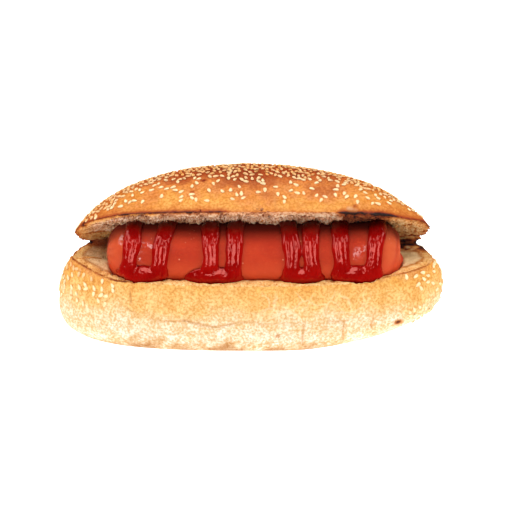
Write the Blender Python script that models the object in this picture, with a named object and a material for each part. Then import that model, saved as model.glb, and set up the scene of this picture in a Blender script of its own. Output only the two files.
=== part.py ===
"""A hot dog: a sesame bun, cut along its front and through both ends and hinged open along its back, with
a thick frankfurter lying in the cut and one zigzag of ketchup squeezed over the frankfurter.

Units are metres. +X runs along the bun, -Y is its open front and +Z is up. The origin is under the middle
of the bun, on the surface that it stands on.
"""

from math import asin, cos, pi, radians, sin, sqrt

import bmesh
import bpy
from mathutils import Matrix, Vector

# The loaf as it left the oven, before it was cut.
LOAF_LENGTH = 0.180
LOAF_WIDTH = 0.070
LOAF_HEIGHT = 0.0686
BULGE_HEIGHT = 0.0165  # the loaf is widest this far above its base
PLAN_FULLNESS = 2.8  # superellipse powers: 2 is an ellipse, more is fuller
BASE_PLAN_FULLNESS = 2.4
CROWN_PLAN_FULLNESS = 2.2
CROWN_FULLNESS = 2.0
BASE_FULLNESS = 2.9
BASE_CUT = 0.74  # the tray flattened the rounded underside at this share of its depth
RISE = 0.0120  # the right end baked clear of the tray by this much
RISE_FROM = 0.020
RISE_TOP = 0.046  # the rise fades out at this height
RISE_POWER = 1.5
LOAF_SEGMENTS = 60
LOAF_RINGS = 36

# The knife's cut and the hinge that it leaves along the back.
HINGE_Y = 0.0175
HINGE_Z = 0.0395
CUT_SLOPE = radians(9.3)  # the lower cut face falls towards the front by this much
OPENING = radians(40.1)  # the upper half is folded back by this much
KNIFE_THICKNESS = 0.0006
# The crust folds between these two angles, counted round the hinge from the cut.
HINGE_STIFF_FROM = radians(125)
HINGE_STIFF_TO = radians(215)
UPPER_SHIFT = 0.0008  # the upper half has slid this far to the right
TIP_DROOP = 0.0025  # the ends of the upper half hang this much lower than its cut
DROOP_FROM = 0.055
# The lower half's lip stands up in front of the frankfurter, by this much in its middle. Each step is
# where it starts along X, the length over which it comes in, and what it adds.
LIP_RISE = 0.0034
LIP_STEPS = ((-0.044, -0.016, -0.0006), (-0.060, -0.018, 0.0034), (0.042, 0.024, 0.0016))
LIP_DEPTH = 0.012  # the rise fades out this far behind the middle of the front
LIP_FOOT = 0.018  # the rise starts this far above the base
LIP_TOP = 0.034
# The lower cut face is divided across and along at these places, so that it follows the lip.
LIP_LINES = (
    (-0.074, -0.067, -0.060, -0.052, -0.044, 0.042, 0.048, 0.054, 0.060, 0.066),
    (-0.003, -0.006, -0.009, -0.012),
)

# The frankfurter.
SAUSAGE_RADIUS = 0.0149
SAUSAGE_LENGTH = 0.1369
SAUSAGE_CENTRE = Vector((0.0026, -0.0155, 0.0430))
SAUSAGE_BOW = Vector((0, 0.0030, 0.0))  # its ends lie this far from the line of its middle
LEFT_CAP = 0.0120  # length of the blunt left end
LEFT_CAP_FULLNESS = 2.1
RIGHT_CAP = 0.0125  # length of the right end, drawn in to a knot
RIGHT_CAP_FULLNESS = 1.8
SAUSAGE_SEGMENTS = 24
SAUSAGE_RINGS = 26
RING_CROWDING = 0.75  # 0 spaces the rings evenly, 1 crowds them most towards the ends

# The ketchup: where each stroke of the zigzag crosses the frankfurter, at the back and at the front.
STROKES = (
    (-0.0510, -0.0516),
    (-0.0356, -0.0422),
    (-0.0169, -0.0176),
    (-0.0059, -0.0076),
    (0.0174, 0.0194),
    (0.0275, 0.0275),
    (0.0403, 0.0410),
    (0.0587, 0.0550),
)
FRONT_TURN = radians(112)  # angles round the frankfurter, from its top towards the front
BACK_TURN = radians(-30)
TURN_REACH = radians(14)  # a turn swings this far beyond its strokes
BEAD_RADIUS = 0.0042
BEAD_SINK = 0.0017  # the bead's centre line runs this far under the skin
BEAD_RESOLUTION = 2
STEPS_PER_STROKE = 9
STEPS_PER_TURN = 5
POOLS = ((-0.0483, 0.0081), (-0.0162, 0.0122), (0.0236, 0.0088), (0.0485, 0.0106))  # middle and half-width
POOL_ANGLE = radians(112)
POOL_REACH = 0.0064
POOL_THICKNESS = 0.0032
POOL_SEGMENTS = 16
POOL_RINGS = 12

GAP = 0.0003  # between pieces that touch
TINY = 1e-6  # shorter than any edge of the object
COPLANAR = 0.99999  # cosine of the angle within which a face counts as part of the cut


def smooth(value):
    """0 to 1 as value goes from 0 to 1, with no corner at either end."""
    held = min(max(value, 0.0), 1.0)
    return held * held * (3 - 2 * held)


def mix(a, b, share):
    """From a to b as share goes from 0 to 1."""
    return a + (b - a) * share


def power(value, exponent):
    """A power that keeps the sign of value."""
    return abs(value) ** exponent * (1 if value >= 0 else -1)


def new_object(name, mesh, collection):
    piece = bpy.data.objects.new(name, mesh)
    collection.objects.link(piece)
    return piece


def shaped_sphere(name, segments, rings, place, collection, lying=True):
    """A sphere primitive, lying with its poles on the X axis, each vertex moved by place(direction)."""
    shape = bmesh.new()
    turned = Matrix.Rotation(pi / 2 if lying else 0, 4, "Y")
    bmesh.ops.create_uvsphere(shape, u_segments=segments, v_segments=rings, radius=1, matrix=turned)
    for vertex in shape.verts:
        vertex.co = place(vertex.co.copy())
    bmesh.ops.recalc_face_normals(shape, faces=shape.faces)
    mesh = bpy.data.meshes.new(name)
    shape.to_mesh(mesh)
    shape.free()
    return new_object(name, mesh, collection)


def apply_boolean(piece, cutter, operation):
    """Cuts or joins piece with cutter for good, and removes the cutter."""
    modifier = piece.modifiers.new(operation, "BOOLEAN")
    modifier.operation = operation
    modifier.solver = "EXACT"
    modifier.use_self = True  # the ketchup's bead crosses itself at its turns
    modifier.object = cutter
    evaluated = piece.evaluated_get(bpy.context.evaluated_depsgraph_get())
    mesh = bpy.data.meshes.new_from_object(evaluated)
    piece.modifiers.clear()
    piece.data = mesh
    bpy.data.objects.remove(cutter)


# The bun


def loaf_point(direction):
    """The point of the uncut loaf's crust in a direction of the unit sphere."""
    ring = sqrt(direction.x**2 + direction.y**2)
    along, across = (direction.x / ring, direction.y / ring) if ring > TINY else (0.0, 0.0)
    up = direction.z
    plan = mix(PLAN_FULLNESS, CROWN_PLAN_FULLNESS if up > 0 else BASE_PLAN_FULLNESS, smooth(abs(up)))
    fullness = CROWN_FULLNESS if up > 0 else BASE_FULLNESS
    depth = LOAF_HEIGHT - BULGE_HEIGHT if up > 0 else BULGE_HEIGHT / BASE_CUT
    slice_size = ring ** (2 / fullness)
    x = LOAF_LENGTH / 2 * slice_size * power(along, 2 / plan)
    y = LOAF_WIDTH / 2 * slice_size * power(across, 2 / plan)
    z = max(0.0, BULGE_HEIGHT + depth * power(up, 2 / fullness))
    lift = max(0.0, (x - RISE_FROM) / (LOAF_LENGTH / 2 - RISE_FROM)) ** RISE_POWER
    return Vector((x, y, z + RISE * lift * max(0.0, 1 - z / RISE_TOP)))


def knife(collection):
    """The thin slab that the knife took out, from the front and both ends back to the hinge."""
    bpy.ops.mesh.primitive_cube_add(size=1)
    blade = bpy.context.object
    for holder in blade.users_collection:
        holder.objects.unlink(blade)
    collection.objects.link(blade)
    blade.data.transform(Matrix.Diagonal((1.2 * LOAF_LENGTH, LOAF_WIDTH, KNIFE_THICKNESS, 1)))
    blade.data.transform(Matrix.Translation((0, -LOAF_WIDTH / 2, 0)))
    blade.data.transform(Matrix.Rotation(CUT_SLOPE, 4, "X"))
    blade.data.transform(Matrix.Translation((0, HINGE_Y, HINGE_Z)))
    return blade


def divide_cut_face(bun):
    """Divides the lower cut face across and along, where the lip rises."""
    shape = bmesh.new()
    shape.from_mesh(bun.data)
    up = Vector((0, -sin(CUT_SLOPE), cos(CUT_SLOPE)))
    for axis, places in enumerate(LIP_LINES):
        for place in places:
            faces = [face for face in shape.faces if face.normal.dot(up) > COPLANAR]
            edges = list({edge for face in faces for edge in face.edges})
            line = Vector((0, 0, 0))
            line[axis] = 1
            bmesh.ops.bisect_plane(shape, geom=faces + edges, plane_co=line * place, plane_no=line)
    bmesh.ops.triangulate(shape, faces=shape.faces)
    shape.to_mesh(bun.data)
    shape.free()


def lip_rise(point):
    """How far the lower half's crust stands up at a point of the closed loaf."""
    rise = LIP_RISE + sum(more * smooth((point.x - start) / over) for start, over, more in LIP_STEPS)
    return rise * smooth(-point.y / LIP_DEPTH) * smooth((point.z - LIP_FOOT) / (LIP_TOP - LIP_FOOT))


def folded(point):
    """Where a point of the closed loaf goes when the upper half is folded back round the hinge."""
    arm = Vector((point.y - HINGE_Y, point.z - HINGE_Z))
    # The angle round the hinge, from the cut over the top to the back and underneath: 0 to a full turn.
    turn = (-arm.angle_signed(Vector((-cos(CUT_SLOPE), -sin(CUT_SLOPE))))) % (2 * pi)
    share = 1 - smooth((turn - HINGE_STIFF_FROM) / (HINGE_STIFF_TO - HINGE_STIFF_FROM))
    fold = OPENING * share
    droop = TIP_DROOP * share * smooth((abs(point.x) - DROOP_FROM) / (LOAF_LENGTH / 2 - DROOP_FROM))
    return Vector(
        (
            point.x + UPPER_SHIFT * share,
            HINGE_Y + arm.x * cos(fold) + arm.y * sin(fold),
            HINGE_Z - arm.x * sin(fold) + arm.y * cos(fold) - droop + lip_rise(point) * (1 - share),
        )
    )


def make_bun(collection, cutters):
    """The bun, cut, folded open and pressed in by the frankfurter and the ketchup."""
    bun = shaped_sphere("bun", LOAF_SEGMENTS, LOAF_RINGS, loaf_point, collection, lying=False)
    apply_boolean(bun, knife(cutters), "DIFFERENCE")
    divide_cut_face(bun)
    for vertex in bun.data.vertices:
        vertex.co = folded(vertex.co.copy())
    bun.data.update()
    apply_boolean(bun, make_sausage(cutters, GAP), "DIFFERENCE")
    apply_boolean(bun, make_ketchup(cutters, GAP), "DIFFERENCE")
    return bun


# The frankfurter


def sausage_line(x):
    """The middle of the frankfurter at x, bowed a little."""
    share = (x - SAUSAGE_CENTRE.x) / (SAUSAGE_LENGTH / 2)
    return Vector((x, SAUSAGE_CENTRE.y, SAUSAGE_CENTRE.z)) + SAUSAGE_BOW * share * share


def sausage_radius(x):
    """The skin's distance from the middle line at x: straight sides, a blunt and a drawn end."""
    left = SAUSAGE_CENTRE.x - SAUSAGE_LENGTH / 2
    right = SAUSAGE_CENTRE.x + SAUSAGE_LENGTH / 2
    into_left = min(1.0, max(0.0, (left + LEFT_CAP - x) / LEFT_CAP))
    into_right = min(1.0, max(0.0, (x - right + RIGHT_CAP) / RIGHT_CAP))
    blunt = (1 - into_left**LEFT_CAP_FULLNESS) ** (1 / LEFT_CAP_FULLNESS)
    drawn = (1 - into_right**2) ** (1 / RIGHT_CAP_FULLNESS)
    return SAUSAGE_RADIUS * blunt * drawn


def make_sausage(collection, grow=0.0):
    """The frankfurter, or with grow the space that it needs in its neighbours."""
    half = SAUSAGE_LENGTH / 2

    def place(direction):
        even = asin(max(-1.0, min(1.0, direction.x))) / (pi / 2)
        share = mix(even, sin(even * pi / 2), RING_CROWDING)
        x = SAUSAGE_CENTRE.x + share * half
        around = Vector((0, direction.y, direction.z))
        if around.length > TINY:
            around.normalize()
        skin = sausage_radius(x) + grow * min(1.0, sausage_radius(x) / SAUSAGE_RADIUS * 2)
        return sausage_line(x) + around * skin + Vector((share * grow, 0, 0))

    return shaped_sphere("sausage", SAUSAGE_SEGMENTS, SAUSAGE_RINGS, place, collection)


# The ketchup


def on_skin(x, angle, height):
    """A point over the frankfurter's skin, angle round it from the top towards the front."""
    out = sausage_radius(x) + height
    return sausage_line(x) + Vector((0, -sin(angle) * out, cos(angle) * out))


def ketchup_route():
    """The bead's centre line: strokes over the frankfurter, forwards and backwards, with round turns."""
    route = []
    for number, (back, front) in enumerate(STROKES):
        forward = number % 2 == 0
        for step in range(STEPS_PER_STROKE + 1):
            share = step / STEPS_PER_STROKE if forward else 1 - step / STEPS_PER_STROKE
            angle = mix(BACK_TURN, FRONT_TURN, share)
            route.append(on_skin(mix(back, front, share), angle, -BEAD_SINK))
        if number + 1 == len(STROKES):
            break
        start, end = (front, STROKES[number + 1][1]) if forward else (back, STROKES[number + 1][0])
        for step in range(1, STEPS_PER_TURN):
            swing = pi * step / STEPS_PER_TURN
            angle = FRONT_TURN + TURN_REACH * sin(swing) if forward else BACK_TURN - TURN_REACH * sin(swing)
            route.append(on_skin(mix(start, end, (1 - cos(swing)) / 2), angle, -BEAD_SINK))
    return route


def bead(collection, grow):
    """The bead as a tube along its route."""
    curve = bpy.data.curves.new("ketchup", "CURVE")
    curve.dimensions = "3D"
    curve.bevel_depth = BEAD_RADIUS + grow
    curve.bevel_resolution = BEAD_RESOLUTION
    curve.use_fill_caps = True
    route = ketchup_route()
    spline = curve.splines.new("POLY")
    spline.points.add(len(route) - 1)
    for point, spot in zip(spline.points, route):
        point.co = (*spot, 1)
    tube = new_object("ketchup", curve, collection)
    evaluated = tube.evaluated_get(bpy.context.evaluated_depsgraph_get())
    mesh = bpy.data.meshes.new_from_object(evaluated)
    bpy.data.objects.remove(tube)
    shape = bmesh.new()
    shape.from_mesh(mesh)
    bmesh.ops.remove_doubles(shape, verts=shape.verts, dist=TINY)
    bmesh.ops.recalc_face_normals(shape, faces=shape.faces)
    shape.to_mesh(mesh)
    shape.free()
    return new_object("ketchup", mesh, collection)


def pool(x, half_width, collection, grow):
    """The ketchup that ran together under a front turn and stands on the bun's lip."""
    centre = on_skin(x, POOL_ANGLE, 0)
    tilt = Matrix.Rotation(POOL_ANGLE - pi / 2, 3, "X")
    size = Vector((half_width + grow, POOL_THICKNESS + grow, POOL_REACH + grow))

    def place(direction):
        return centre + tilt @ Vector(a * b for a, b in zip(direction, size))

    return shaped_sphere("pool", POOL_SEGMENTS, POOL_RINGS, place, collection)


def make_ketchup(collection, grow=0.0):
    """The zigzag of ketchup with its four pools, or with grow the space that it needs in the bun."""
    ketchup = bead(collection, grow)
    for x, half_width in POOLS:
        apply_boolean(ketchup, pool(x, half_width, collection, grow), "UNION")
    apply_boolean(ketchup, make_sausage(collection, GAP - grow), "DIFFERENCE")
    return ketchup


# Colours


def give_material(piece, name, colour, roughness):
    material = bpy.data.materials.new(name)
    material.use_nodes = True
    shader = material.node_tree.nodes["Principled BSDF"]
    shader.inputs["Base Color"].default_value = (*colour, 1)
    shader.inputs["Roughness"].default_value = roughness
    shader.inputs["Metallic"].default_value = 0
    piece.data.materials.clear()
    piece.data.materials.append(material)


def main():
    for leftover in list(bpy.data.objects):
        bpy.data.objects.remove(leftover)
    parts = bpy.data.collections.new("hot_dog")
    cutters = bpy.data.collections.new("cutters")
    for collection in (parts, cutters):
        bpy.context.scene.collection.children.link(collection)

    bun = make_bun(parts, cutters)
    sausage = make_sausage(parts)
    ketchup = make_ketchup(parts)
    give_material(bun, "golden crust", (0.83, 0.47, 0.17), 0.6)
    give_material(sausage, "frankfurter skin", (0.60, 0.08, 0.03), 0.3)
    give_material(ketchup, "ketchup", (0.33, 0.01, 0.005), 0.15)
    for piece in (bun, sausage, ketchup):
        piece.data.shade_smooth()
        piece.data.set_sharp_from_angle(angle=radians(40))


main()
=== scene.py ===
"""The looks of a hot dog: a sesame bun hinged open along its back, a thick frankfurter in its cut and a
zigzag of ketchup squeezed over the frankfurter.

Sizes are in metres, in the frame of the CAD solids. +X runs along the bun, -Y is its open front, +Z is up.
"""

from itertools import product
from math import cos, exp, pi, radians, sin

import bpy
import numpy as np
from mathutils import Matrix, Vector
from mathutils.bvhtree import BVHTree


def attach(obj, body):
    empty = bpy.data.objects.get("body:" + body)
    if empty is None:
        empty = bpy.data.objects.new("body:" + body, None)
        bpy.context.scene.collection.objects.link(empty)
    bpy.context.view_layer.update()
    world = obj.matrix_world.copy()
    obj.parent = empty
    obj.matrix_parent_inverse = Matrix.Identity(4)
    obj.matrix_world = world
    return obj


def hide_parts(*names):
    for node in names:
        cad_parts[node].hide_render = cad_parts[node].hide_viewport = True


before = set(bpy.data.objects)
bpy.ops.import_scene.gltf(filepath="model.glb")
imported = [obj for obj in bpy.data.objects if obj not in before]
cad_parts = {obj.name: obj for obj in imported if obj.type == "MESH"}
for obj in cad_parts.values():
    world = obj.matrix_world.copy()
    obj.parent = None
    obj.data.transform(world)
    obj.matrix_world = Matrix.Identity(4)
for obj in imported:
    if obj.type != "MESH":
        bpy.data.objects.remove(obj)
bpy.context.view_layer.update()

# The bun
#
# A soft white bun, proved and baked on a tray until its crown was golden brown and its foot was still
# pale, then cut with a knife from the front, toasted on its cut and folded open. Its crust is a thin
# wrinkled skin over an open crumb. The crust tore along the front where the dough rose last.

BUN_FACE = 0.00097  # the size of a face of the bread
BED_GAP = 0.0007  # a face this near the frankfurter or the ketchup is part of their bed
MM = 0.001
# The cut: where the two halves still hang together, in millimetres, how far each cut face leans from level,
# and how far the upper half was folded back.
HINGE_Y, HINGE_Z = 17.5, 39.5
LOWER_LEAN, UPPER_LEAN, FOLD = radians(9.3), radians(30.8), radians(40.1)
HINGE = Vector((0, HINGE_Y * MM, HINGE_Z * MM))
LOWER_CUT = Vector((0, -sin(LOWER_LEAN), cos(LOWER_LEAN)))
UPPER_CUT = Vector((0, -sin(UPPER_LEAN), -cos(UPPER_LEAN)))
# The frankfurter's place in it, in millimetres: the middle and half of its length, and its middle line,
# which bows towards the front.
SAUSAGE_MIDDLE, SAUSAGE_HALF = 2.6, 68.45
SAUSAGE_Y, SAUSAGE_Z, SAUSAGE_BOW = -15.5, 43.0, 3.0
CRUMB_REACH = 15.1  # no crumb hangs nearer to that line than this


def only(piece):
    """Selects this piece and nothing else."""
    bpy.ops.object.select_all(action="DESELECT")
    piece.select_set(True)
    bpy.context.view_layer.objects.active = piece


def copy_of(node, name):
    """A copy of a CAD solid as a piece of its own, its loose triangles merged."""
    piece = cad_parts[node].copy()
    piece.data = piece.data.copy()
    piece.name = piece.data.name = name
    piece.parent = None
    for key in list(piece.keys()):
        del piece[key]
    bpy.context.scene.collection.objects.link(piece)
    only(piece)
    bpy.ops.object.mode_set(mode="EDIT")
    bpy.ops.mesh.select_all(action="SELECT")
    bpy.ops.mesh.remove_doubles(threshold=1e-6)
    bpy.ops.object.mode_set(mode="OBJECT")
    return piece


def finish_with(piece, kind, **settings):
    """Adds a modifier and applies it."""
    only(piece)
    modifier = piece.modifiers.new(kind.lower(), kind)
    for name, value in settings.items():
        setattr(modifier, name, value)
    bpy.ops.object.modifier_apply(modifier=modifier.name)


def values_of(parts, name, width=3):
    """What every point or face of a mesh has under this name, a row for each."""
    values = np.empty(len(parts) * width)
    parts.foreach_get(name, values)
    return values.reshape(-1, width)


def points_of(piece):
    return values_of(piece.data.vertices, "co")


def outwards(piece):
    """The direction that each point of the surface faces."""
    return values_of(piece.data.vertices, "normal")


def move(piece, points):
    """Moves the points of a piece to these places."""
    piece.data.vertices.foreach_set("co", points.ravel())
    piece.data.update()


def push(piece, distance):
    """Moves the surface out by a distance for each point."""
    move(piece, points_of(piece) + outwards(piece) * distance[:, None])


def paint(piece, name, values):
    """Keeps a value for each point of the surface, for the material to read."""
    layer = piece.data.attributes.new(name, "FLOAT", "POINT")
    layer.data.foreach_set("value", values.astype(np.float32))


def ramp(values, start, end):
    """0 at start, 1 at end, with no corner at either."""
    share = np.clip((values - start) / (end - start), 0, 1)
    return share * share * (3 - 2 * share)


def grain(points, size, seed):
    """Smooth chance from -1 to 1 that changes over this size."""
    lattice = np.random.default_rng(seed).uniform(-1, 1, (64, 64, 64))
    spot = points / size + 7.3
    cell = np.floor(spot).astype(int)
    part = spot - cell
    part = part * part * (3 - 2 * part)
    total = np.zeros(len(points))
    for corner in product((0, 1), repeat=3):
        weight = np.prod(np.where(corner, part, 1 - part), axis=1)
        total += weight * lattice[tuple(((cell + corner) % 64).T)]
    return total


def tree_of(piece, keep=lambda face: True):
    """The faces of a piece for which keep is true, ready to be measured from."""
    faces = [tuple(face.vertices) for face in piece.data.polygons if keep(face)]
    return BVHTree.FromPolygons([vertex.co for vertex in piece.data.vertices], faces)


def distance_to(tree, points):
    return np.array([tree.find_nearest(point)[3] for point in points])


def along_sausage(x):
    """How far along the frankfurter a place lies, from -1 at its left end to 1 at its right end."""
    return (x - SAUSAGE_MIDDLE) / SAUSAGE_HALF


def middle_line(x):
    """How far back the frankfurter's middle line lies at x, both in millimetres."""
    return SAUSAGE_Y + SAUSAGE_BOW * along_sausage(x) ** 2


fillings = [tree_of(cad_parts[node]) for node in ("sausage", "ketchup")]


def is_crumb(face):
    """Whether a face of the CAD bun is cut or pressed, and not crust."""
    if face.center.y < HINGE.y:
        height = (face.center - HINGE).dot(LOWER_CUT)
        if face.normal.dot(LOWER_CUT) > 0.8 and -0.0015 < height < 0.006:
            return True
        if face.center.z > HINGE.z - 0.001 and face.normal.dot(UPPER_CUT) > 0.7:
            return True
    return any(tree.find_nearest(face.center, BED_GAP)[0] is not None for tree in fillings)


bun = copy_of("bun", "bun.baked")
finish_with(bun, "TRIANGULATE")
crumb_tree = tree_of(bun, is_crumb)
crust_tree = tree_of(bun, lambda face: not is_crumb(face))
finish_with(bun, "REMESH", mode="VOXEL", voxel_size=BUN_FACE)

# The crust loses the flats of the solid and keeps its cut edges.
crust = bun.vertex_groups.new(name="crust")
for index, weight in enumerate(ramp(distance_to(crumb_tree, points_of(bun)), 0.4 * MM, 3 * MM)):
    crust.add([index], weight, "REPLACE")
for _ in range(3):
    finish_with(bun, "SMOOTH", factor=0.5, iterations=25, vertex_group="crust")

# Marks in the crust, in millimetres: along the front as (x, z) where it tore as the dough rose; the cracks
# that run down from the tear and up to the rim, as (x, lowest z, highest z); the creases over the upper
# half's edge, as (x, y, bend, half of the length); and the middle of a blister.
TEAR = (
    (-60, 28), (-56, 26), (-55, 22), (-51, 20), (-45, 18), (-40, 17.3), (-29, 18), (-23, 16.5), (-16, 15),
    (-8, 16.8), (1, 18), (6, 16), (14, 16.6), (25, 16.4), (35, 17.6), (43.5, 17.2), (50, 19),
)
CRACKS = ((23.9, 5.4, 15.6), (42.2, 6, 16.5), (55.5, 11, 18.5), (-54, 24, 30.5))
CREASES = ((11, -20.5, 0.25, 3.6), (34, -24.8, 0.0, 1.8))
BLISTER_X, BLISTER_Y = 46, -23
# How hard the heat caught the upper half's cut edge: the places along X, and the heat there.
EDGE_HEAT = (
    (-84, -78, -62, -58, -14, -8, 38, 43, 62, 68, 86),
    (0.75, 0.65, 0.7, 1, 1, 0.25, 0.25, 1, 1, 0.8, 0.7),
)
# Scorched spots, as (x, z, size, heat) on the front and (x, y, size, heat) on the upper half.
FRONT_SPOTS = ((67.7, 13.9, 1.7, 0.9), (12.6, 10, 0.8, 0.6))
UPPER_SPOTS = ((-21, -8, 1.0, 0.8), (-26, -15, 0.8, 0.6), (47.4, -20.6, 1.0, 0.5), (-76, -12, 1.2, 1))


def from_tear(points):
    """How far each point lies above the tear, in millimetres, and how deep the tear is there."""
    x, y, z = points.T / MM
    above = z - np.interp(x, *zip(*TEAR)) - 0.5 * grain(points, 3.5 * MM, 11)
    depth = ramp(-y, 14, 22) * ramp(x, -61, -54) * ramp(-x, -49, -41)
    return above, depth * np.clip(0.65 + 0.6 * grain(points, 11 * MM, 12), 0.15, 1)


def from_crack(points):
    """How far each point lies beside the nearest crack, in millimetres, and how deep the crack is there."""
    x, y, z = points.T / MM
    beside, depth = np.full(len(x), 99.0), np.zeros(len(x))
    for middle, low, high in CRACKS:
        off = x - middle - 0.7 * grain(points, 3 * MM, 13)
        near = np.abs(off) < np.abs(beside)
        beside[near] = off[near]
        runs = ramp(-y, 14, 22) * ramp(z, low - 1, low + 2) * ramp(-z, -high - 1, -high + 1)
        depth[near] = runs[near]
    return beside, depth


def beside_crease(x, y, crease):
    """How far each place lies to the right of a crease, in millimetres."""
    middle_x, middle_y, bend, length = crease
    return x - middle_x - bend * (y - middle_y) ** 2 / length


def refine(piece, chosen):
    """Divides each face all of whose points are chosen."""
    only(piece)
    bpy.ops.object.mode_set(mode="EDIT")
    bpy.ops.mesh.select_all(action="DESELECT")
    bpy.ops.object.mode_set(mode="OBJECT")
    corners = np.empty(len(piece.data.loops), int)
    piece.data.loops.foreach_get("vertex_index", corners)
    starts = np.empty(len(piece.data.polygons), int)
    piece.data.polygons.foreach_get("loop_start", starts)
    piece.data.polygons.foreach_set("select", np.logical_and.reduceat(chosen[corners], starts))
    bpy.ops.object.mode_set(mode="EDIT")
    bpy.ops.mesh.select_mode(type="FACE")
    bpy.ops.mesh.subdivide(number_cuts=1)
    bpy.ops.object.mode_set(mode="OBJECT")


def crown_at(points, is_upper):
    """How high each place lay on the loaf before its upper half was folded back, in millimetres, and how
    far up the crown that is, from 0 to 1."""
    x, y, z = points.T / MM
    height = np.where(is_upper, HINGE_Z + (y - HINGE_Y) * sin(FOLD) + (z - HINGE_Z) * cos(FOLD), z)
    height += 3 * grain(points, 9 * MM, 41)
    left, right = ramp(-x, 45, 75), ramp(x, 35, 75)
    return height, ramp(height, 48.5 - 17 * left - 9 * right, 56 - 19 * left - 10 * right)


def depth_in_crumb(points):
    """How deep each point lies in the crumb, in millimetres; below 0 it is that far out on the crust."""
    return (distance_to(crust_tree, points) - distance_to(crumb_tree, points)) / MM


# The hidden bed under the frankfurter needs few faces, and the tear, the cracks and the torn crumb need more.
points = points_of(bun)
depth = depth_in_crumb(points)
x, y, z = points.T / MM
above, torn = from_tear(points)
beside, cracked = from_crack(points)
torn_crumb = (z > 45) & (depth > -1.5) & (depth < 16) & (y < 4) & (np.abs(x) < 88)
rims = (np.abs(depth) < 1.5) & (y < 14)
tear_lips, crack_lips = (torn > 0.1) & (np.abs(above) < 2.4), (cracked > 0.1) & (np.abs(beside) < 1.6)
refine(bun, torn_crumb | rims | tear_lips | crack_lips)

points = points_of(bun)
depth = depth_in_crumb(points)
x, y, z = points.T / MM
is_crust, is_upper = ramp(-depth, -0.3, 0.6), z > 40 + 0.3 * np.abs(y - 17)
above, torn = from_tear(points)
beside, cracked = from_crack(points)
# The crust swells a little, stands up in lips along the tear and the cracks and on one side of a crease, and
# has sunk where the blister opened.
swell = 0.45 * grain(points, 26 * MM, 3) + 0.16 * grain(points, 8 * MM, 4) + 0.05 * grain(points, 2.6 * MM, 5)
swell += torn * np.where(above > 0, 0.5 * np.exp(-above / 1.5), 0.5 - 1.05 * np.exp(above / 0.9))
swell += torn * np.where(above > 0, 0, -0.5 * ramp(-above, 0, 3))
swell += cracked * (0.18 * np.exp(-((np.abs(beside) - 1.1) ** 2) / 0.4) - 0.5 * np.exp(-(beside**2) / 0.16))
aside = beside_crease(x, y, CREASES[0])
step = np.where(aside > 0, 0.42 * np.exp(-aside / 2.2), -0.15 * np.exp(aside / 0.8))
swell += is_upper * ramp(-np.abs(y - CREASES[0][1]), -5, -2.5) * step
from_blister = np.hypot((x - BLISTER_X) / 2.5, (y - BLISTER_Y) / 1.8)
swell -= is_upper * (y < -8) * 0.5 * ramp(-from_blister, -1.1, -0.7)
# The crumb is full of pores, and ragged where it tore off the frankfurter.
pores = 0.8 * grain(points, 2.4 * MM, 1) + 0.8 * grain(points, 1.15 * MM, 2)
ragged = 0.8 + 1.1 * is_upper * ramp(x, -70, -60) * ramp(-x, -50, -38)
relief = ragged * (0.42 * pores - 0.7 * ramp(-pores, 0.4, 0.9))
relief += 0.5 * (ragged - 0.8) * grain(points, 5 * MM, 7)
relief += 0.45 * is_upper * grain(points, 0.75 * MM, 9)
rim = np.exp(-np.abs(depth) / 1.1)
distance = is_crust * swell + (1 - is_crust) * relief + 0.3 * rim * grain(points, 2.4 * MM, 6)
push(bun, distance * MM * ramp(z, 0.2, 3))

# The torn crumb of the upper half hangs in tufts over the top of the frankfurter, and stays clear of it.
points = points_of(bun)
x, y, z = points.T / MM
bed, sauce_near = (distance_to(filling, points) / MM for filling in fillings)
fringe = is_upper * (y < -12) * (depth > 0.3) * ramp(-bed, -3.2, -0.4)
fringe *= ramp(x, -64, -56) * ramp(-x, -56, -40)
tufts = 2.1 + 1.2 * grain(points * np.array((1, 0.4, 0.4)), 1.1 * MM, 14) + 1.2 * grain(points, 4 * MM, 15)
drop = fringe * np.clip(tufts, 0, 4.2) * (0.45 + 0.55 * ramp(sauce_near, 0.5, 2.5)) * MM
points += drop[:, None] * np.array((0, -0.72, -0.69))
middle = np.stack((points[:, 0], middle_line(x) * MM, np.full(len(x), SAUSAGE_Z * MM)), axis=1)
out = points - middle
radius = np.hypot(out[:, 1], out[:, 2])
too_near = (drop > 0) & (radius < CRUMB_REACH * MM) & (np.abs(along_sausage(x)) < 0.85)
lift = np.where(too_near, CRUMB_REACH * MM / np.maximum(radius, MM), 1)
points[:, 1:] = middle[:, 1:] + out[:, 1:] * lift[:, None]
# The upper half's ends are blunt.
ends = is_upper * MM
points[:, 0] += ends * (1.3 * ramp(-x, 74, 88) - 2.2 * ramp(x, 72, 88))
raised = 1.3 * ramp(x, 64, 80) * ramp(-depth, -9, -1) * ramp(-z, -62, -56)
points[:, 2] += ends * (raised - 0.8 * ramp(-x, 68, 84))
move(bun, points)

# What the material reads: the depth in the crumb, the open cracks and the flaky skin.
points = points_of(bun)
x, y, z = points.T / MM
paint(bun, "depth", depth)
paint(bun, "relief", relief)
lines = torn * np.exp(-((above + 0.3) ** 2) / 0.35) + cracked * np.exp(-(beside**2) / 0.22)
for crease in CREASES:
    middle_y, length = crease[1], crease[3]
    runs = ramp(-np.abs(y - middle_y), -length - 1, -length + 1)
    lines += is_upper * np.exp(-(beside_crease(x, y, crease) ** 2) / 0.25) * runs
paint(bun, "cracks", np.clip(lines, 0, 1))
flaky = ramp(x, -4, 8) * ramp(-x, -60, -46) * ramp(z, 15, 19) * ramp(-z, -32, -28) * ramp(-y, 16, 22)
paint(bun, "flaky", flaky)

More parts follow.
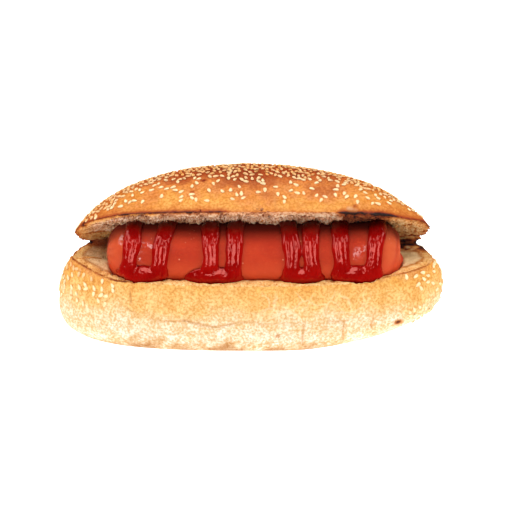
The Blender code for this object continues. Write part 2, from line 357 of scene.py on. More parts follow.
# How far each place of a cut face lies from the hinge, towards the front, and where the cut's ends are open.
run = np.where(is_upper, (HINGE_Y - y) * cos(UPPER_LEAN) + (z - HINGE_Z) * sin(UPPER_LEAN), HINGE_Y - y)
inside = ramp(depth, -0.3, 0.5)
left_open, right_open = ramp(-x, 58, 66), ramp(x, 57, 64)
pits = ramp(grain(points, 1.4 * MM, 16), 0.4, 0.6)

# The toast of the upper half: its edge, the burnt stretch on the right, and strips across both open ends.
toast = is_upper * np.interp(x, *EDGE_HEAT) * np.exp(-np.clip(np.abs(depth + 0.2), 0, 9))
burnt = is_upper * ramp(x, 38, 43) * ramp(-x, -66, -60)
toast += burnt * (0.9 * np.exp(-np.clip(-depth, 0, 9) / 0.9) * (depth < 0) + inside * (0.5 + 0.4 * pits))
upper_left, upper_right = is_upper * inside * left_open, is_upper * inside * right_open
toast += upper_right * np.where(run > 10, 0.06 + 0.4 * pits, 0.03)
toast += upper_right * 0.6 * np.exp(-(((run - 10 - 0.8 * grain(points, 6 * MM, 8)) / 1.1) ** 2))
toast += upper_left * (
    0.02 + 0.3 * np.exp(-(((run - 19) / 1.5) ** 2)) + (0.08 + 0.35 * pits) * ramp(-x, 72, 78))

# The toast of the lower half: its rim, a line inside it, the back of its open ends and a charred corner.
lower = ~is_upper * (depth > -0.4)
uneven = 0.5 + 0.6 * ramp(grain(points, 4 * MM, 17), -0.3, 0.3)
rim_heat = ramp(-x, 50, 56) * 0.75 + ramp(x, 50, 58) * 0.45
toast += lower * rim_heat * np.exp(-(((depth - 0.2) / 0.45) ** 2)) * uneven
toast += lower * ramp(np.abs(x), 54, 62) * 0.3 * np.exp(-(((depth - 5) / 0.9) ** 2)) * (y < 6)
toast += lower * ramp(x, 60, 68) * ramp(y, 6, 10) * (0.3 + 0.5 * grain(points, 1.6 * MM, 18))
charred = ramp(x, 64, 70) * ramp(y, 3, 8) * ramp(z, 36, 38) * ramp(depth, -3.5, -1.5)
toast += ~is_upper * charred * np.clip(0.4 + 0.8 * grain(points, 1.6 * MM, 31), 0, 0.9)
toast += lower * ramp(-x, 60, 68) * (0.25 * ramp(y, 8, 13) + 0.1 * pits)
for surface, across, flat, spots in ((y < 0, z, 0.7, FRONT_SPOTS), (is_upper, y, 0.8, UPPER_SPOTS)):
    for spot_x, spot_across, size, heat in spots:
        spot = np.exp(-(((x - spot_x) / size) ** 2) - ((across - spot_across) / size / flat) ** 2)
        toast += surface * heat * spot
paint(bun, "toast", np.clip(toast, 0, 1))

# Where the cut was baked golden and where the blister is bare, then painted shade and painted light on crumb
# and crust.
upper_gold = (
    left_open * np.maximum(ramp(-run, -21, -18), ramp(-x, 71, 77)) + 0.8 * right_open * ramp(-run, -10, -8)
    + 0.8 * right_open + ramp(-x, 38, 46) * ramp(-depth, -3.6, -2.2))
lower_gold = np.maximum(ramp(-depth, -5.4, -4.2), ramp(-np.abs(x), -62, -54))
paint(bun, "gold", np.clip(inside * np.where(is_upper, upper_gold, lower_gold), 0, 1))
from_blister = np.hypot((x - BLISTER_X) / 2.6, (y - BLISTER_Y) / 1.9) + 0.15 * grain(points, 2 * MM, 19)
paint(bun, "bare", is_upper * (y < -8) * ramp(-from_blister, -1.1, -0.8))
# Painted shade: the upper half's crumb is darker deeper into the cut and towards the right.
paint(bun, "shade", 1 - is_upper * inside * (0.16 * ramp(depth, 2, 6) + 0.16 * ramp(x, 8, 30)))
# The upper crust is darker on the crown and towards the ends: partly real browning, partly painted shade
# between the seeds and at the ends.
paint(bun, "baked", is_upper * np.maximum(crown_at(points, is_upper)[1], 0.6 * ramp(np.abs(x), 38, 72)))
# Painted light: the lower half's crumb is paler, more so on the right, where little light reaches it.
paint(bun, "lower", lower * np.where(x > 0, 0.9, 0.7))


def tone(red, green, blue):
    """A colour from its screen values, 0 to 255, as the shaders take it."""
    shares = np.array((red, green, blue)) / 255
    return (*np.where(shares > 0.04045, ((shares + 0.055) / 1.055) ** 2.4, shares / 12.92), 1)


def fill(tree, made, inputs):
    """Fills the inputs of a node: each is set to a value, or linked where it is another node's output."""
    for name, value in inputs.items():
        if isinstance(value, bpy.types.NodeSocket):
            tree.links.new(value, made.inputs[name])
        else:
            made.inputs[name].default_value = value


def node(tree, kind, inputs=None, **settings):
    """Adds a node."""
    made = tree.nodes.new("ShaderNode" + kind)
    for name, value in settings.items():
        setattr(made, name, value)
    fill(tree, made, inputs or {})
    return made


def blend(tree, factor, first, second, way="MIX"):
    """Mixes two colours by a factor."""
    return node(tree, "Mix", {0: factor, 6: first, 7: second}, data_type="RGBA", blend_type=way).outputs[2]


def tinted(tree, colour, tint):
    """A colour multiplied by another."""
    return blend(tree, 1.0, colour, tint, "MULTIPLY")


def fitted(tree, value, low, high, new_low=0.0, new_high=1.0):
    """A value fitted from one range to another, smoothly, and held inside it."""
    return node(tree, "MapRange", {0: value, 1: low, 2: high, 3: new_low, 4: new_high},
                interpolation_type="SMOOTHSTEP").outputs[0]


def sums(tree, way, first, second):
    return node(tree, "Math", {0: first, 1: second}, operation=way).outputs[0]


def plus(tree, first, second):
    return sums(tree, "ADD", first, second)


def times(tree, first, second):
    return sums(tree, "MULTIPLY", first, second)


def stops(tree, value, colours):
    """A colour that changes with a value, through these (value, colour) stops."""
    made = node(tree, "ValToRGB", {0: value})
    band = made.color_ramp
    for _ in colours[2:]:
        band.elements.new(0.5)
    for element, (place, colour) in zip(band.elements, colours):
        element.position = place
        element.color = colour
    return made.outputs[0]


# Noise from 0 to 1 that changes over a size: the mottling of the crust, the meat, the sauce and the seeds.
mottle = bpy.data.node_groups.new("mottle", "ShaderNodeTree")
for socket, kind in (("Vector", "Vector"), ("Size", "Float"), ("Detail", "Float"), ("Roughness", "Float")):
    mottle.interface.new_socket(socket, in_out="INPUT", socket_type="NodeSocket" + kind)
mottle.interface.new_socket("Value", in_out="OUTPUT", socket_type="NodeSocketFloat")
given, result = mottle.nodes.new("NodeGroupInput"), mottle.nodes.new("NodeGroupOutput")
noise = node(mottle, "TexNoise", {
    "Vector": given.outputs["Vector"], "Scale": sums(mottle, "DIVIDE", 1.0, given.outputs["Size"]),
    "Detail": given.outputs["Detail"], "Roughness": given.outputs["Roughness"],
})
mottle.links.new(noise.outputs[0], result.inputs["Value"])


def noise_at(tree, where, size, detail=2.0, rough=0.5):
    return node(tree, "Group", {"Vector": where, "Size": size, "Detail": detail, "Roughness": rough},
                node_tree=mottle).outputs[0]


def swayed(tree, where, scale, amount):
    """Places moved about by noise, so that what is laid over them isn't regular."""
    chance = node(tree, "TexNoise", {"Vector": where, "Scale": scale, "Detail": 2.0}).outputs[1]
    chance = node(tree, "VectorMath", {0: chance, 1: (amount,) * 3}, operation="MULTIPLY").outputs[0]
    return node(tree, "VectorMath", {0: where, 1: chance}).outputs[0]


def from_walls(tree, where, scale):
    """How far each place lies from the walls between irregular cells."""
    return node(tree, "TexVoronoi", {"Vector": where, "Scale": scale}, feature="DISTANCE_TO_EDGE").outputs[0]


def bumps(tree, height, strength, distance):
    return node(tree, "Bump", {"Height": height, "Strength": strength, "Distance": distance}).outputs[0]


def new_finish(name):
    material = bpy.data.materials.new(name)
    material.use_nodes = True
    tree = material.node_tree
    return material, tree, tree.nodes["Principled BSDF"], node(tree, "TexCoord").outputs["Object"]


def kept(tree, name):
    """A value that was painted on the piece."""
    return node(tree, "Attribute", attribute_name=name).outputs["Fac"]


def wear(piece, material):
    """Gives a piece its material and a smooth surface."""
    piece.data.materials.clear()
    piece.data.materials.append(material)
    piece.data.polygons.foreach_set("material_index", np.zeros(len(piece.data.polygons), int))
    only(piece)
    bpy.ops.object.shade_smooth()


bread, tree, shader, where = new_finish("baked bread")
cloudy = noise_at(tree, where, 0.016, 3.0, 0.55)
mottled = noise_at(tree, where, 0.0045, 4.0, 0.6)
fine = noise_at(tree, where, 0.0011, 3.0, 0.6)
# The crust from its pale foot to its brown crown, by height as a share of 80 mm. The lowest stops darken the
# very foot: partly its browned edge, partly painted shade under its curve.
height = times(tree, node(tree, "SeparateXYZ", {0: where}).outputs[2], 1 / 0.08)
uneven = plus(tree, height, fitted(tree, cloudy, 0.3, 0.7, -0.045, 0.045))
uneven = plus(tree, uneven, fitted(tree, mottled, 0.3, 0.7, -0.02, 0.02))
crust_colour = stops(tree, uneven, (
    (0.0, tone(205, 170, 132)),
    (0.045, tone(232, 208, 174)),
    (0.10, tone(255, 246, 230)),
    (0.19, tone(255, 244, 222)),
    (0.30, tone(254, 216, 150)),
    (0.43, tone(248, 194, 106)),
    (0.55, tone(222, 152, 92)),
    (0.72, tone(230, 156, 84)),
    (0.84, tone(242, 180, 92)),
    (0.90, tone(228, 152, 82)),
    (0.95, tone(198, 114, 58)),
    (1.0, tone(176, 92, 44)),
))
plain = tone(255, 255, 255)
patchy, speckled = fitted(tree, mottled, 0.3, 0.7), fitted(tree, fine, 0.36, 0.64)
crust_colour = tinted(tree, crust_colour, blend(tree, patchy, tone(244, 222, 186), plain))
crust_colour = tinted(tree, crust_colour, blend(tree, speckled, tone(228, 200, 162), plain))
flakes = from_walls(tree, swayed(tree, where, 220.0, 0.004), 85.0)
flake_lines = times(tree, fitted(tree, flakes, 0.0, 0.045, 1.0, 0.0), kept(tree, "flaky"))
crust_colour = blend(tree, times(tree, flake_lines, 0.35), crust_colour, tone(252, 228, 186))
crust_colour = blend(tree, times(tree, kept(tree, "cracks"), 0.6), crust_colour, tone(214, 146, 76))
# Darker crown and ends of the upper crust: partly real browning, partly painted shade.
browned_and_shaded = tinted(tree, crust_colour, tone(226, 186, 152))
crust_colour = blend(tree, kept(tree, "baked"), crust_colour, browned_and_shaded)
crust_colour = blend(tree, kept(tree, "bare"), crust_colour, tone(214, 168, 122))
# The crumb is a web of fine walls round small holes, which are darkened as painted shade.
web = fitted(tree, from_walls(tree, swayed(tree, where, 700.0, 0.0012), 900.0), 0.0, 0.28, 1.0, 0.0)
pores = plus(tree, fitted(tree, kept(tree, "relief"), -0.9, 0.8, 0.0, 0.75), times(tree, web, 0.35))
pores = plus(tree, pores, fitted(tree, fine, 0.35, 0.65, -0.2, 0.2))
crumb_colour = stops(tree, pores, (
    (0.10, tone(140, 72, 38)),
    (0.40, tone(210, 138, 92)),
    (0.70, tone(238, 178, 130)),
    (0.95, tone(255, 222, 184)),
))
gold_colour = stops(tree, pores, (
    (0.1, tone(216, 138, 66)),
    (0.5, tone(250, 188, 106)),
    (0.95, tone(255, 216, 148)),
))
# Painted light makes the lower half's crumb paler.
crumb_colour = blend(tree, kept(tree, "lower"), crumb_colour, tone(255, 224, 164))
crumb_colour = blend(tree, kept(tree, "gold"), crumb_colour, gold_colour)
# Painted shade on the upper half's crumb.
shade = kept(tree, "shade")
shade = node(tree, "CombineColor", {0: shade, 1: shade, 2: shade}).outputs[0]
crumb_colour = tinted(tree, crumb_colour, shade)
# Crust and crumb meet at the edge of the cut, and the heat browned both.
edge = plus(tree, kept(tree, "depth"), fitted(tree, fine, 0.3, 0.7, -0.25, 0.25))
is_inside = fitted(tree, edge, -0.25, 0.2)
colour = blend(tree, is_inside, crust_colour, crumb_colour)
heat = times(tree, kept(tree, "toast"), fitted(tree, mottled, 0.25, 0.6, 0.6, 1.15))
toast_tint = stops(tree, heat, (
    (0.0, plain),
    (0.3, tone(214, 160, 110)),
    (0.6, tone(160, 96, 56)),
    (0.85, tone(92, 48, 26)),
    (1.0, tone(44, 24, 14)),
))
wrinkles = plus(tree, times(tree, mottled, 0.6), times(tree, fine, 0.4))
wrinkles = plus(tree, wrinkles, times(tree, times(tree, web, is_inside), 0.35))
wrinkles = plus(tree, wrinkles, times(tree, flake_lines, -0.10))
fill(tree, shader, {
    "Base Color": tinted(tree, colour, toast_tint),
    "Roughness": fitted(tree, is_inside, 0.0, 1.0, 0.62, 0.95),
    "Specular IOR Level": 0.2,
    "Normal": bumps(tree, wrinkles, 0.9, 0.0007),
})
wear(bun, bread)
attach(bun, "root")
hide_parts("bun")

# The torn crumb
#
# Where the upper half was pulled off the frankfurter its crumb tore into short soft shreds, darker as painted
# shade where they hang nearest to the meat. They hang from the crumb, and a few are orange with fat.

SHRED_LENGTH, SHRED_WIDTH = 0.0013, 0.00042  # of a middling one
SHREDS = 2600  # the places where one may hang
FAT_SHARE = 0.012  # of the shreds are orange


def shape_of(piece):
    """The points and the faces of a small piece, always in the same order; the piece is then taken away."""
    points, faces = points_of(piece), sorted(tuple(face.vertices) for face in piece.data.polygons)
    bpy.data.objects.remove(piece)
    return points, faces


def strewn(name, copies, faces, mark, values):
    """One piece made of copies of a small shape, each of them painted with one value."""
    count = len(copies[0])
    starts = range(0, count * len(copies), count)
    mesh = bpy.data.meshes.new(name)
    mesh.from_pydata(
        np.concatenate(copies).tolist(), [],
        [tuple(corner + start for corner in face) for start in starts for face in faces])
    piece = bpy.data.objects.new(name, mesh)
    bpy.context.scene.collection.objects.link(piece)
    paint(piece, mark, np.repeat(values, count))
    return piece


bpy.ops.object.select_all(action="DESELECT")
bpy.ops.mesh.primitive_ico_sphere_add(subdivisions=1, radius=0.5)
shred = bpy.context.object
bpy.ops.object.mode_set(mode="EDIT")
bpy.ops.mesh.select_all(action="SELECT")
bpy.ops.transform.resize(value=(SHRED_LENGTH, SHRED_WIDTH, SHRED_WIDTH), center_override=(0, 0, 0))
bpy.ops.object.mode_set(mode="OBJECT")
shape, faces = shape_of(shred)

chance = np.random.default_rng(61)
points, facing = points_of(bun), outwards(bun)
x, y, z = points.T / MM
bed = distance_to(fillings[0], points) / MM
torn_here = is_upper & (depth > 0.4) & (bed < 6) & (y < -10) & (x > -64) & (x < 42) & (facing[:, 2] < 0.3)
copies, tints = [], []
for root in chance.choice(np.flatnonzero(torn_here), SHREDS, replace=False):
    hang = Vector(facing[root]) * 0.5 + Vector((0, -0.5, -0.7)) + Vector(chance.normal(0, 0.45, 3))
    along = hang.normalized()
    across = along.cross(Vector((1, 0.2, 0.1))).normalized()
    size = chance.uniform(0.6, 1.35)
    tip = (Vector(points[root]) + along * SHRED_LENGTH * size * 0.8) / MM
    if np.hypot(tip.y - middle_line(tip.x), tip.z - SAUSAGE_Z) < CRUMB_REACH:
        continue
    turned = np.array(Matrix((along, across, along.cross(across))))
    bent = shape * size * (1, chance.uniform(0.6, 1.5), chance.uniform(0.6, 1.5))
    copies.append(bent @ turned + points[root] + np.array(along) * SHRED_LENGTH * size * 0.3)
    # Painted shade: a shred is darker the nearer it hangs to the frankfurter and the further right it is.
    tint = 0.45 * float(ramp(bed[root], 0, 3.5)) + chance.uniform(0, 0.5) - 0.15 * float(ramp(x[root], 5, 30))
    tints.append(1.0 if chance.random() < FAT_SHARE else np.clip(tint, 0, 0.95))
shreds = strewn("bun.shreds", copies, faces, "tint", tints)

torn_finish, tree, shader, where = new_finish("torn crumb")
colour = stops(tree, kept(tree, "tint"), (
    (0.0, tone(124, 66, 42)),
    (0.35, tone(190, 122, 86)),
    (0.7, tone(238, 188, 150)),
    (0.96, tone(255, 230, 204)),
    (0.99, tone(230, 132, 50)),
))
soft = fitted(tree, noise_at(tree, where, 0.0006), 0.4, 0.7, 0.0, 0.5)
colour = blend(tree, soft, colour, tinted(tree, colour, tone(200, 160, 130)))
fill(tree, shader, {"Base Color": colour, "Roughness": 0.9, "Specular IOR Level": 0.1})
wear(shreds, torn_finish)
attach(shreds, "root")

# The frankfurter
#
# A thick smoked frankfurter: fine meat in a tight edible skin, heated until it shines. Its left end is
# blunt with small creases, and its right end is gathered and tied off to a knot.

SAUSAGE_FACE = 0.0008  # the size of a face of its skin
LEFT_END, RIGHT_END = SAUSAGE_MIDDLE - SAUSAGE_HALF, SAUSAGE_MIDDLE + SAUSAGE_HALF
FLAT_END = 68.2  # how far the right end reaches, but for its knot


def around_sausage(points):
    """Angle from the top towards the front, and distance from the middle line, of points round the
    frankfurter; in millimetres."""
    x, y, z = points.T / MM
    out_y, out_z = y - middle_line(x), z - SAUSAGE_Z
    return np.arctan2(-out_y, out_z), np.hypot(out_y, out_z)


def hump(place, middle, width):
    """1 at the middle, falling to 0 on both sides."""
    return np.exp(-(((place - middle) / width) ** 2))


frankfurter = copy_of("sausage", "frankfurter")
finish_with(frankfurter, "REMESH", mode="VOXEL", voxel_size=SAUSAGE_FACE)
finish_with(frankfurter, "SMOOTH", factor=0.5, iterations=25)
points = points_of(frankfurter)
angle, radius = around_sausage(points)
x = points[:, 0] / MM
near_left = ramp(-x, -LEFT_END - 9, -LEFT_END - 2) * ramp(radius, 0.5, 3)
near_right = ramp(x, RIGHT_END - 11, RIGHT_END - 2) * ramp(radius, 1, 3.5)
# Both ends are pleated where the skin was twisted shut, and a line runs round the right one.
pleats = np.cos(15 * angle + 2.6 * grain(points, 5 * MM, 21))
twist = 1.6 * grain(points, 6 * MM, 24)
skin = 0.22 * grain(points, 17 * MM, 22) + 0.05 * grain(points, 4 * MM, 23)
skin += near_left * (0.24 * pleats + 0.1 * grain(points, 1.8 * MM, 28))
skin += near_right * 0.1 * np.cos(9 * angle + twist)
seam_and_pleat_shade = hump(x - 4.5 * np.cos(angle - 0.9), 62.5, 0.8) * ramp(radius, 3, 7)
skin -= 0.3 * seam_and_pleat_shade
# Painted shade: the creases of the pleats at both ends are darkened.
seam_and_pleat_shade += 0.6 * near_left * ramp(-pleats - 0.3 * grain(points, 3 * MM, 29), 0.5, 1)
seam_and_pleat_shade += 0.5 * near_right * ramp(np.cos(11 * angle + twist), 0.6, 1)
push(frankfurter, skin * MM)
# The right end is flat but for the knot where it was tied off, with a notch over it.
points = points_of(frankfurter)
y, z = points[:, 1] / MM, points[:, 2] / MM
points[:, 0] = np.minimum(points[:, 0], (FLAT_END + 0.5 * grain(points, 5 * MM, 27)) * MM)
knot = 2.4 * hump(z, 39.5, 3.4) * hump(y, -13, 5) - 0.9 * hump(z, 44.5, 0.9) * hump(y, -14, 5)
points[:, 0] += MM * ramp(x, 62, RIGHT_END) * knot
move(frankfurter, points)
# Where it is wet: all over the left, and in a slanting band on the right.
band = 0.65 * hump(angle + 0.03 * (x - 48), 1.25, 0.17) * ramp(x, 38, 44) * ramp(-x, -56, -50)
broken = ramp(grain(points, 5 * MM, 25) + 0.6 * grain(points, 1.7 * MM, 26), -0.15, 0.25)
paint(frankfurter, "wet", np.maximum(ramp(-x, 34, 44), band) * ramp(angle, 0.5, 0.8) * broken)
# Painted shade: the top of the skin, under the upper half, is darker.
paint(frankfurter, "painted_shade_top", ramp(-angle, -1.05, -0.35))
# Painted light: the lower front of the skin, just above the lip, is paler.
paint(frankfurter, "painted_light_low", ramp(angle, 1.3, 2.0))
pale_ends = np.maximum(ramp(-x, -LEFT_END - 16, -LEFT_END), 1.1 * ramp(x, RIGHT_END - 13, RIGHT_END - 8))
paint(frankfurter, "ends", pale_ends)
paint(frankfurter, "seam_and_pleat_shade", np.clip(seam_and_pleat_shade, 0, 1))

skin_finish, tree, shader, where = new_finish("frankfurter skin")
cloudy = noise_at(tree, where, 0.011, 3.0)
fine = noise_at(tree, where, 0.0016, 3.0, 0.6)
few = noise_at(tree, where, 0.006)
colour = blend(tree, fitted(tree, cloudy, 0.3, 0.7), tone(172, 38, 10), tone(186, 50, 18))
colour = blend(tree, times(tree, kept(tree, "ends"), 0.75), colour, tone(206, 90, 50))
colour = blend(tree, fitted(tree, fine, 0.52, 0.7, 0.0, 0.15), colour, tone(206, 84, 46))
dots = node(tree, "TexVoronoi", {"Vector": where, "Scale": 420.0}).outputs[0]
specks = times(tree, fitted(tree, dots, 0.10, 0.2, 1.0, 0.0), fitted(tree, few, 0.56, 0.66))
colour = blend(tree, times(tree, specks, 0.55), colour, tone(246, 168, 130))
# The line round the right end, and painted shade in the pleats' creases.
colour = blend(tree, times(tree, kept(tree, "seam_and_pleat_shade"), 0.5), colour, tone(168, 44, 24))
# Painted light makes the lower front of the skin paler.
colour = blend(tree, kept(tree, "painted_light_low"), colour, tone(200, 70, 36))
# Painted shade darkens the top of the skin.
colour = blend(tree, kept(tree, "painted_shade_top"), colour, tinted(tree, colour, tone(150, 128, 120)))
fill(tree, shader, {
    "Base Color": colour,
    "Roughness": fitted(tree, fine, 0.3, 0.7, 0.55, 0.68),
    "Specular IOR Level": 0.2,
    "Specular Tint": (1, 0.45, 0.35, 1),
    "Coat Weight": times(tree, kept(tree, "wet"), fitted(tree, fine, 0.46, 0.54)),
    "Coat Roughness": 0.14,
    "Subsurface Weight": 0.12,
    "Subsurface Radius": (1.0, 0.35, 0.2),
    "Subsurface Scale": 0.002,
    "Normal": bumps(tree, fine, 0.5, 0.0003),
})
wear(frankfurter, skin_finish)
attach(frankfurter, "root")
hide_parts("sausage")

# The ketchup
#
# One zigzag of tomato ketchup from a bottle whose nozzle drew three ridges along each stroke. It has run
# together into four small pools where the strokes turn, along the bun's lip.

KETCHUP_FACE = 0.42 * MM  # the size of a face of the ketchup
# Where each stroke crosses the frankfurter, at the back and at the front, in millimetres.
STROKES = (
    (-51.0, -55.3), (-35.6, -42.1), (-17.0, -18.2), (-5.4, -8.2), (17.2, 19.4), (27.6, 27.6), (40.5, 41.2),
    (58.8, 55.0),
)
STROKE_FROM, STROKE_TO = -38, 116  # degrees round the frankfurter, from its top towards the front
STROKE_HALF, STROKE_THICK = 4.1, 1.95  # half of a stroke's width and its height over the skin, millimetres
STROKE_SUNK = 1.5  # how far its foot reaches into the skin, in millimetres
STROKE_CUTS = 44  # how finely a stroke's block is divided each way
GROOVES = (-0.44, 0.3)  # the grooves between its three ridges, as shares of that half
GROOVE_HALF, GROOVE_DEEP = 0.085, 0.8  # a share of that half, and millimetres
# The pools: middle and half-width along X, in millimetres, how far up the skin from their foot, in
# degrees, and how thick, in millimetres.
POOLS = ((-48.2, 9.2, 27, 2.7), (-16.2, 13.6, 26, 2.7), (23.7, 10.4, 25, 2.7), (48.5, 11.8, 28, 2.7))
POOL_FOOT = 121
SKIN = 14.9  # from the frankfurter's middle line to its skin
LEFT_ROUND, RIGHT_ROUND = 12.0, 12.5  # the lengths of its rounded ends
SKIN_GAP = 0.1  # what lies under the skin is drawn out this far over it


def over_skin(x, degrees, height):
    """A point over the frankfurter, in metres, from millimetres and an angle from its top to the front."""
    into_right = max(0.0, (x - SAUSAGE_MIDDLE - SAUSAGE_HALF + RIGHT_ROUND) / RIGHT_ROUND)
    into_left = max(0.0, (SAUSAGE_MIDDLE - SAUSAGE_HALF + LEFT_ROUND - x) / LEFT_ROUND)
    out = SKIN * (1 - min(1, into_right) ** 2) ** 0.55 * (1 - min(1, into_left) ** 2.1) ** 0.48 + height
    around = radians(degrees)
    return Vector((x, middle_line(x) - sin(around) * out, SAUSAGE_Z + cos(around) * out)) * MM


wander = np.random.default_rng(8)
strands = []
for back, front in STROKES:
    bpy.ops.mesh.primitive_cube_add(size=2)
    strand = bpy.context.object
    bpy.ops.object.mode_set(mode="EDIT")
    bpy.ops.mesh.select_all(action="SELECT")
    bpy.ops.mesh.subdivide(number_cuts=STROKE_CUTS)
    bpy.ops.object.mode_set(mode="OBJECT")
    sway = wander.uniform(0, 2 * pi, 4)
    for vertex in strand.data.vertices:
        beside, turn, out = vertex.co
        along = (turn + 1) / 2
        degrees = STROKE_FROM + (STROKE_TO - STROKE_FROM) * along
        # A stroke narrows over the front and spreads where it runs into a pool.
        half = STROKE_HALF * (1 - 0.16 * exp(-(((degrees - 84) / 15) ** 2)) + 0.3 * max(0, degrees - 96) / 20)
        half *= 1 + 0.05 * sin(15 * along + sway[3])
        wave = 0.3 * sin(9 * along + sway[0]) + 0.12 * sin(23 * along + sway[1])
        top = STROKE_THICK * max(0, 1 - abs(beside) ** 3.2) ** 0.5
        for number, groove in enumerate(GROOVES):
            off = beside - groove - 0.09 * sin(7 * along + sway[2 + number])
            top -= GROOVE_DEEP * float(ramp(degrees, 34, 58)) * exp(-((off / GROOVE_HALF) ** 2))
        height = top if out > 0.99 else -STROKE_SUNK + (top + STROKE_SUNK) * (out + 1) / 2
        vertex.co = over_skin(back + (front - back) * along**1.2 + wave + half * beside, degrees, height)
    strands.append(strand)
for middle, half, up, pool_thick_and_top_shade in POOLS:
    bpy.ops.mesh.primitive_uv_sphere_add(segments=48, ring_count=32, radius=1)
    pool = bpy.context.object
    for vertex in pool.data.vertices:
        along, out, rise = vertex.co
        vertex.co = over_skin(middle + half * along, POOL_FOOT - up * rise, pool_thick_and_top_shade * max(out, -0.4))
    strands.append(pool)
bpy.ops.object.select_all(action="DESELECT")
for strand in strands:
    strand.select_set(True)
bpy.context.view_layer.objects.active = strands[-1]
bpy.ops.object.join()
ketchup = bpy.context.object
ketchup.name = ketchup.data.name = "ketchup.zigzag"
finish_with(ketchup, "REMESH", mode="VOXEL", voxel_size=KETCHUP_FACE)
finish_with(ketchup, "SMOOTH", factor=0.5, iterations=4)
points = points_of(ketchup)
push(ketchup, (0.2 * grain(points, 3.4 * MM, 33) + 0.11 * grain(points, 1.5 * MM, 34)) * MM)
# What lies inside the frankfurter is drawn back to its skin.
points = points_of(ketchup)
radius = around_sausage(points)[1]
x = points[:, 0] / MM
least = np.array([over_skin(place, 0, 0).z / MM - SAUSAGE_Z for place in x]) + SKIN_GAP
factor = np.where(radius < least, least / np.maximum(radius, 1e-3), 1.0)
for column, middle in ((1, middle_line(x) * MM), (2, SAUSAGE_Z * MM)):
    points[:, column] = middle + (points[:, column] - middle) * factor
move(ketchup, points)
# Painted shade: the sauce over the top of the frankfurter, under the upper half, is darker.
paint(ketchup, "pool_thick_and_top_shade", ramp(-around_sausage(points)[0], -1.0, -0.3))

sauce, tree, shader, where = new_finish("tomato ketchup")
cloudy = noise_at(tree, where, 0.006, 3.0)
pulp = noise_at(tree, where, 0.0009, 3.0, 0.6)
ripples = noise_at(tree, where, 0.003)
colour = blend(tree, fitted(tree, cloudy, 0.3, 0.7), tone(140, 3, 2), tone(156, 9, 5))
# Painted shade darkens the sauce on the top.
colour = blend(tree, kept(tree, "pool_thick_and_top_shade"), colour, tinted(tree, colour, tone(148, 40, 40)))
fill(tree, shader, {
    "Base Color": colour,
    "Roughness": fitted(tree, pulp, 0.3, 0.7, 0.06, 0.11),
    "Specular IOR Level": 0.5,
    "Specular Tint": (1, 0.34, 0.29, 1),
    "Normal": bumps(tree, plus(tree, ripples, times(tree, pulp, 0.05)), 0.45, 0.0009),
})
wear(ketchup, sauce)
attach(ketchup, "root")
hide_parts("ketchup")

# The seeds
#
# White sesame seeds, strewn on the wet dough before it was baked: thick on the crown, where they toasted
# golden, and thin towards the cut. A few fell on the lower half's ends.

SEED_LENGTH, SEED_WIDTH, SEED_THICKNESS = 0.0027, 0.0015, 0.0009
SEED_SINK = 0.00015  # how deep it sits in the crust
SEED_SPACE = 0.00195  # between the middles of two seeds
CROWN_SHARE = 0.3  # seeds to a square millimetre on the crown
TRIES = 2.2  # the places tried for each seed, because some are too near to another
NARROWER, THINNER = 0.42, 0.2  # how much less a seed is at its pointed end

bpy.ops.object.select_all(action="DESELECT")
bpy.ops.mesh.primitive_uv_sphere_add(segments=8, ring_count=5, radius=1)
seed = bpy.context.object
bpy.ops.object.mode_set(mode="EDIT")
bpy.ops.mesh.select_all(action="SELECT")
bpy.ops.transform.rotate(value=pi / 2, orient_axis="Y", center_override=(0, 0, 0))
bpy.ops.transform.resize(
    value=(SEED_LENGTH / 2, SEED_WIDTH / 2, SEED_THICKNESS / 2), center_override=(0, 0, 0))
bpy.ops.object.mode_set(mode="OBJECT")
shape, faces = shape_of(seed)
shape[:, 1] *= 1 - NARROWER * shape[:, 0] / (SEED_LENGTH / 2)
shape[:, 2] *= 1 - THINNER * shape[:, 0] / (SEED_LENGTH / 2)

chance = np.random.default_rng(5)
bun_faces = bun.data.polygons
centres, facing = values_of(bun_faces, "center"), values_of(bun_faces, "normal")
areas = values_of(bun_faces, "area", 1)[:, 0]
first_corner = np.array([face.vertices[0] for face in bun_faces])
x, y, z = centres.T / MM
loaf_height, crown = crown_at(centres, is_upper[first_corner])
thin = (0.09 + 0.12 * ramp(x, 35, 75)) * ramp(loaf_height, 36, 42)
low = np.maximum(ramp(-x, 56, 68) * ramp(z, 20, 26), 0.6 * ramp(x, 66, 78) * ramp(z, 6, 14)) * 0.17
share = np.where(is_upper[first_corner], np.maximum(crown, thin), low)
share = share * (depth[first_corner] < -1.2) * (z > 4)
expected = areas / MM**2 * CROWN_SHARE * share * TRIES
places, cells = [], {}
for face in chance.permutation(np.flatnonzero(chance.random(len(expected)) < expected)):
    spot = centres[face]
    cell = tuple(np.floor(spot / SEED_SPACE).astype(int))
    steps = product((-1, 0, 1), repeat=3)
    near = (cells.get((cell[0] + a, cell[1] + b, cell[2] + c), ()) for a, b, c in steps)
    if all(np.linalg.norm(spot - other) > SEED_SPACE for group in near for other in group):
        cells.setdefault(cell, []).append(spot)
        places.append(face)
copies, tints = [], []
for face in places:
    up = Vector(facing[face])
    along = up.cross(Vector((chance.normal(), chance.normal() * 0.6, 0.3))).normalized()
    size = chance.uniform(0.85, 1.1)
    turned = np.array(Matrix((along, up.cross(along), up + 0.12 * along * chance.normal())))
    copies.append(shape * size @ turned + centres[face] + np.array(up) * (SEED_THICKNESS / 2 - SEED_SINK))
    tints.append(np.clip(crown[face] * chance.uniform(0.45, 1.0), 0, 1))
seeds = strewn("sesame.seeds", copies, faces, "toasted", tints)

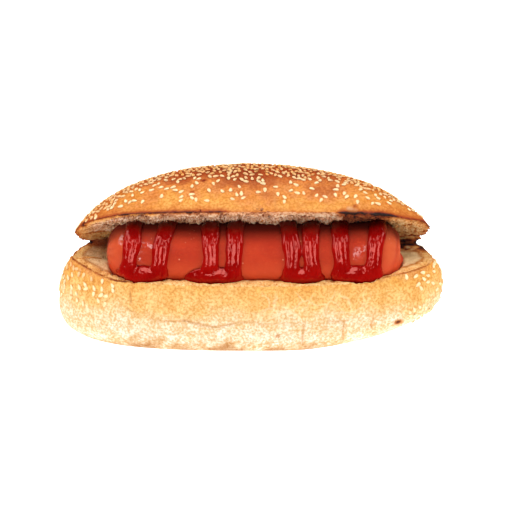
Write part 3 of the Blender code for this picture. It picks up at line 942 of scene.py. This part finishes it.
seed_finish, tree, shader, where = new_finish("sesame")
husk = fitted(tree, noise_at(tree, where, 0.0012), 0.4, 0.7, 0.0, 0.4)
colour = blend(tree, kept(tree, "toasted"), tone(255, 230, 176), tone(234, 158, 68))
fill(tree, shader, {"Base Color": blend(tree, husk, colour, tone(232, 190, 128)), "Roughness": 0.42})
wear(seeds, seed_finish)
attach(seeds, "root")

# The studio
#
# A plain pale table that glows a little, seen from a little above. A wide soft light hangs overhead, one
# stands on each side, and one in front only shines in what is wet.

AIM = Vector((0.0023, 0, 0.0375))
AWAY = 0.8
ELEVATION = radians(18)
VIEW_WIDTH = 0.238  # what the camera takes in, at the object
FILM_WIDTH = 36  # millimetres

bpy.ops.object.select_all(action="DESELECT")
bpy.ops.mesh.primitive_plane_add(size=8, location=(0, 0, 0))
table = bpy.context.object
table.name = "table"
white, tree, shader, where = new_finish("white table")
fill(tree, shader, {
    "Base Color": blend(tree, noise_at(tree, where, 0.3), (0.29, 0.29, 0.29, 1), (0.31, 0.31, 0.31, 1)),
    "Roughness": 0.9,
    "Specular IOR Level": 0.0,
    "Emission Color": (1, 1, 1, 1),
    "Emission Strength": 1.7,
})
wear(table, white)
table.visible_glossy = False


def soft_light(name, place, aim, size, strength):
    lamp = bpy.data.lights.new(name, "AREA")
    lamp.shape = "RECTANGLE"
    lamp.size, lamp.size_y = size
    lamp.energy = strength
    holder = bpy.data.objects.new(name, lamp)
    bpy.context.scene.collection.objects.link(holder)
    holder.location = place
    holder.rotation_euler = (Vector(aim) - Vector(place)).to_track_quat("-Z", "Y").to_euler()
    return holder


overhead = soft_light("overhead", (0, -0.15, 1.5), (0, 0, 0.03), (1.3, 1.1), 16.5)
overhead.visible_glossy = False
soft_light("left", (-1.0, -0.2, 0.95), (0, 0, 0.04), (0.8, 0.8), 10)
soft_light("right", (1.0, -0.2, 0.95), (0, 0, 0.04), (0.8, 0.8), 9.5)
gleam = soft_light("gleam", (-0.12, -1.3, 0.5), (0, 0, 0.03), (1.0, 1.8), 50)
gleam.visible_diffuse = False  # it only shines in what is wet

world = bpy.data.worlds.new("studio")
bpy.context.scene.world = world
world.use_nodes = True
world.node_tree.nodes["Background"].inputs[0].default_value = (1, 1, 1, 1)
world.node_tree.nodes["Background"].inputs[1].default_value = 0.04

lens = bpy.data.cameras.new("camera")
lens.sensor_width = FILM_WIDTH
lens.lens = FILM_WIDTH * AWAY / VIEW_WIDTH
camera = bpy.data.objects.new("camera", lens)
bpy.context.scene.collection.objects.link(camera)
camera.location = AIM + Vector((0, -cos(ELEVATION), sin(ELEVATION))) * AWAY
camera.rotation_euler = (pi / 2 - ELEVATION, 0, 0)
bpy.context.scene.camera = camera
bpy.context.scene.view_settings.view_transform = "Standard"
